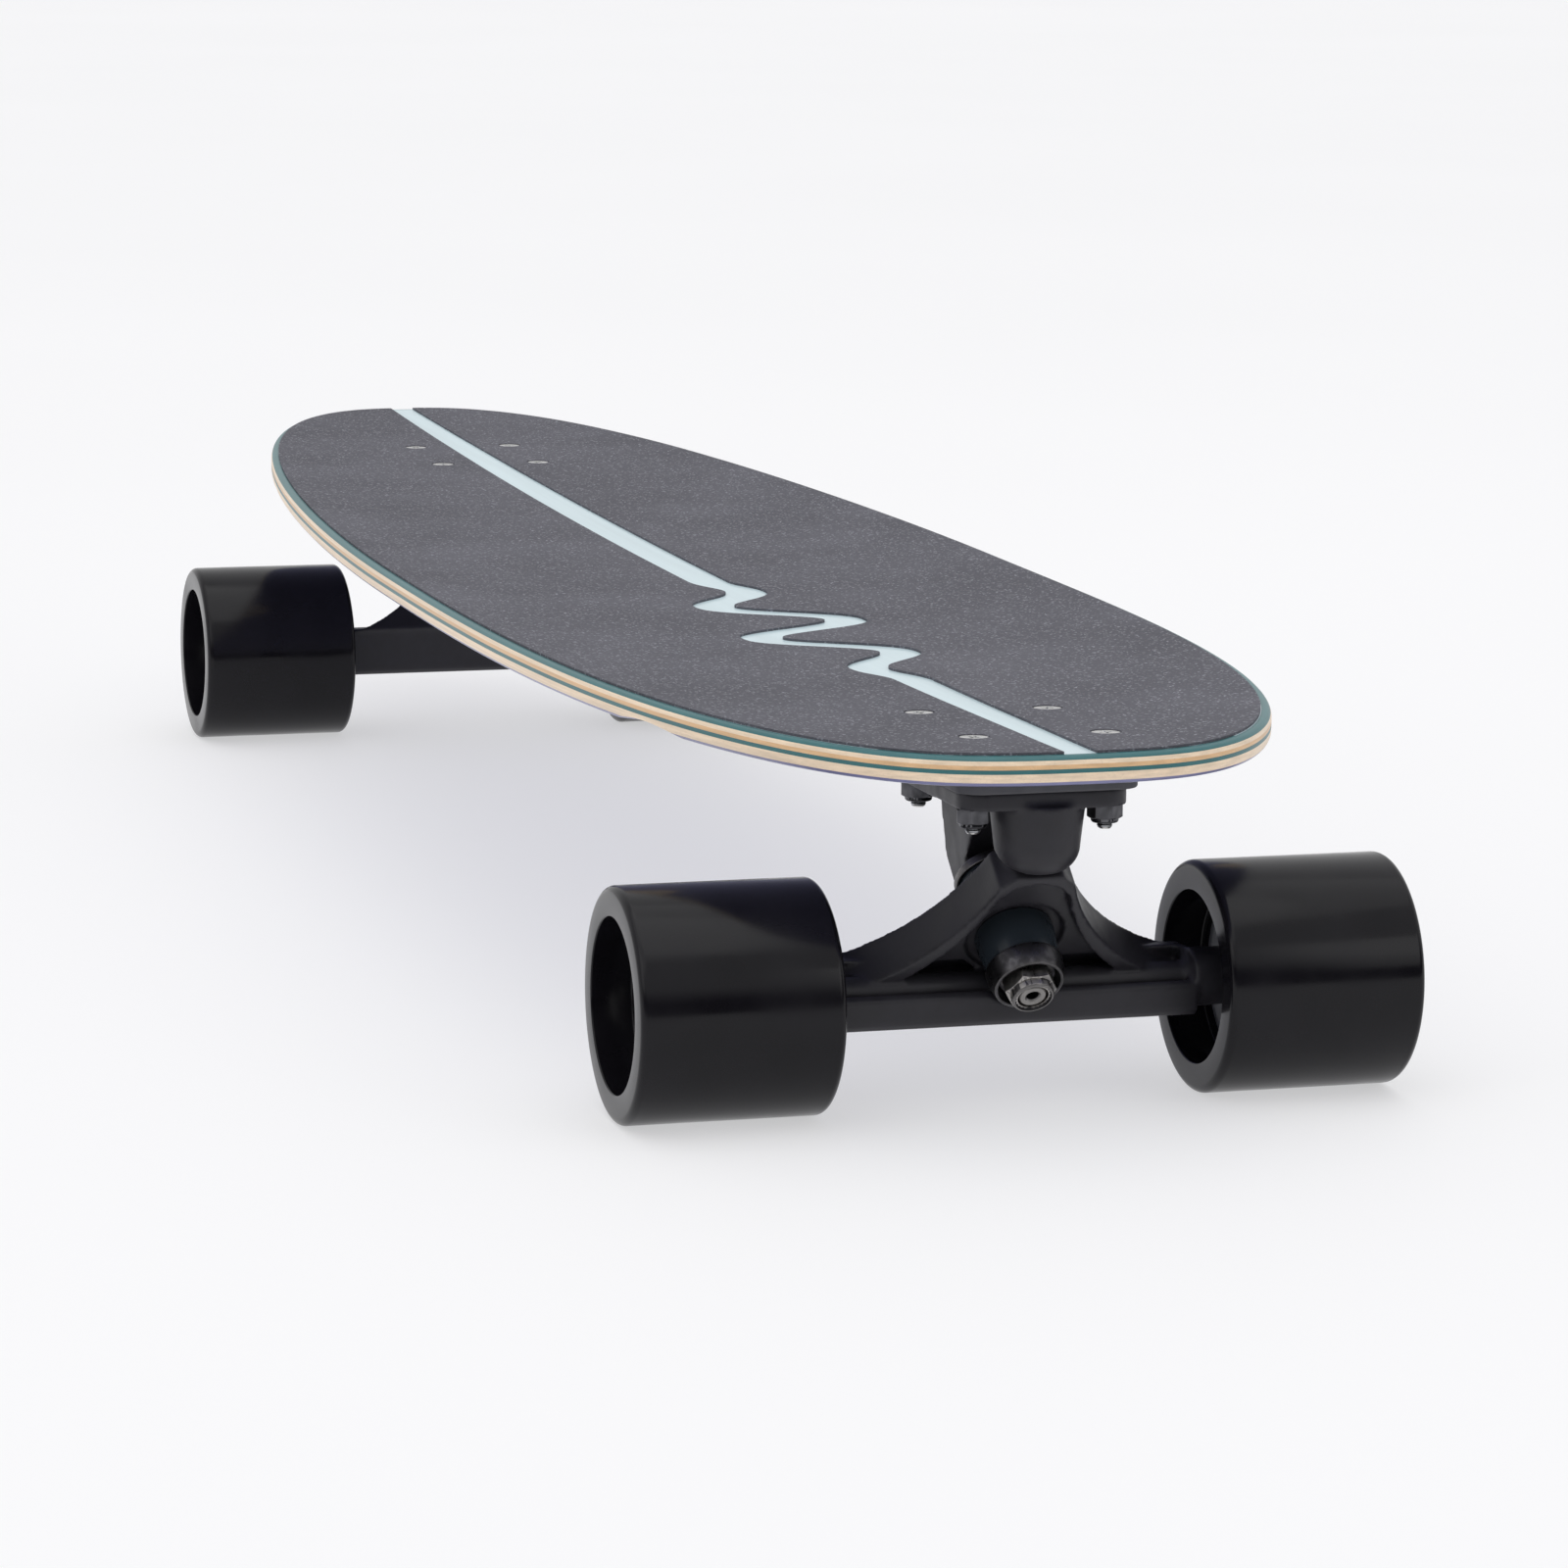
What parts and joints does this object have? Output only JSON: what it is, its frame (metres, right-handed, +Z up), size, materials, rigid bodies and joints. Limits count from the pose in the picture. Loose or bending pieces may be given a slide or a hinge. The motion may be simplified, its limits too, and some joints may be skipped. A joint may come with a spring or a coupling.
{
  "type": "longboard skateboard",
  "caption": "Oval longboard with a pressed seven-ply deck, split grip tape, reverse-kingpin trucks with sprung steering, and wide black wheels on ball bearings.",
  "frame": {"origin": "on the floor, under the middle of the deck's length and width", "axes": "+X to the nose, +Y to the rider's left, +Z up"},
  "size_m": [0.952, 0.2466, 0.1219],
  "materials": {
    "grip_tape": "coarse mineral grit on adhesive film",
    "pale_blue_veneer": "dyed maple veneer under clear lacquer",
    "maple": "lacquered maple veneer edge",
    "tan_maple": "lacquered maple veneer edge",
    "teal_veneer": "dyed maple veneer edge",
    "painted_veneer": "painted and lacquered maple veneer",
    "riser_rubber": "moulded, matte",
    "truck_casting": "satin black coat on cast aluminium",
    "black_plastic": "moulded",
    "dark_steel": "blackened steel, worn bright on its edges",
    "bushing_urethane": "glossy cast urethane",
    "zinc_steel": "zinc plated",
    "black_oxide_steel": "black oxide",
    "bearing_steel": "ground and polished",
    "shield_plastic": "moulded rubber shield",
    "wheel_urethane": "glossy cast urethane",
    "wheel_core": "moulded nylon, semi-gloss"
  },
  "bodies": {
    "deck": {"grip_left": "grip_tape", "grip_right": "grip_tape", "bottom_ply": "painted_veneer", "lower_core_ply": "maple", "lower_face_ply": "maple", "middle_ply": "teal_veneer", "upper_core_ply": "tan_maple", "upper_face_ply": "maple", "top_ply": "pale_blue_veneer", "front_riser_pad": "riser_rubber", "front_baseplate": "truck_casting", "front_pivot_cup": "black_plastic", "front_kingpin": "dark_steel", "front_kingpin_nut": "dark_steel", "front_boardside_bushing": "bushing_urethane", "front_roadside_bushing": "bushing_urethane", "front_bushing_washers": "dark_steel", "front_deck_bolts": "zinc_steel", "front_deck_nuts": "black_oxide_steel", "rear_riser_pad": "riser_rubber", "rear_baseplate": "truck_casting", "rear_pivot_cup": "black_plastic", "rear_kingpin": "dark_steel", "rear_kingpin_nut": "dark_steel", "rear_boardside_bushing": "bushing_urethane", "rear_roadside_bushing": "bushing_urethane", "rear_bushing_washers": "dark_steel", "rear_deck_bolts": "zinc_steel", "rear_deck_nuts": "black_oxide_steel"},
    "front_hanger": {"front_hanger": "truck_casting", "front_axle": "zinc_steel", "front_axle_nuts": "zinc_steel", "front_speed_rings": "zinc_steel", "front_bearing_spacers": "zinc_steel", "front_bearing_inner_rings": "bearing_steel", "front_bearing_balls": "bearing_steel"},
    "rear_hanger": {"rear_hanger": "truck_casting", "rear_axle": "zinc_steel", "rear_axle_nuts": "zinc_steel", "rear_speed_rings": "zinc_steel", "rear_bearing_spacers": "zinc_steel", "rear_bearing_inner_rings": "bearing_steel", "rear_bearing_balls": "bearing_steel"},
    "front_left_wheel": {"front_left_tyre": "wheel_urethane", "front_left_core": "wheel_core", "front_left_bearing_outer_rings": "bearing_steel", "front_left_bearing_shields": "shield_plastic"},
    "front_right_wheel": {"front_right_tyre": "wheel_urethane", "front_right_core": "wheel_core", "front_right_bearing_outer_rings": "bearing_steel", "front_right_bearing_shields": "shield_plastic"},
    "rear_left_wheel": {"rear_left_tyre": "wheel_urethane", "rear_left_core": "wheel_core", "rear_left_bearing_outer_rings": "bearing_steel", "rear_left_bearing_shields": "shield_plastic"},
    "rear_right_wheel": {"rear_right_tyre": "wheel_urethane", "rear_right_core": "wheel_core", "rear_right_bearing_outer_rings": "bearing_steel", "rear_right_bearing_shields": "shield_plastic"}
  },
  "joints": [
    {"name": "front_steer", "type": "hinge", "parent": "deck", "child": "front_hanger", "pos_m": [0.41143, 0, 0.05591], "axis": [0.6255, 0, 0.7802], "range_deg": [-18, 18], "stiffness_Nm_per_rad": 25, "deforming": ["front_boardside_bushing", "front_roadside_bushing"]},
    {"name": "rear_steer", "type": "hinge", "parent": "deck", "child": "rear_hanger", "pos_m": [-0.32143, 0, 0.05591], "axis": [-0.6255, 0, 0.7802], "range_deg": [-18, 18], "stiffness_Nm_per_rad": 25, "deforming": ["rear_boardside_bushing", "rear_roadside_bushing"]},
    {"name": "front_left_spin", "type": "hinge", "parent": "front_hanger", "child": "front_left_wheel", "pos_m": [0.407, 0.0918, 0.036], "axis": [0, 1, 0], "continuous": true},
    {"name": "front_right_spin", "type": "hinge", "parent": "front_hanger", "child": "front_right_wheel", "pos_m": [0.407, -0.0918, 0.036], "axis": [0, 1, 0], "continuous": true},
    {"name": "rear_left_spin", "type": "hinge", "parent": "rear_hanger", "child": "rear_left_wheel", "pos_m": [-0.317, 0.0918, 0.036], "axis": [0, 1, 0], "continuous": true},
    {"name": "rear_right_spin", "type": "hinge", "parent": "rear_hanger", "child": "rear_right_wheel", "pos_m": [-0.317, -0.0918, 0.036], "axis": [0, 1, 0], "continuous": true}
  ]
}
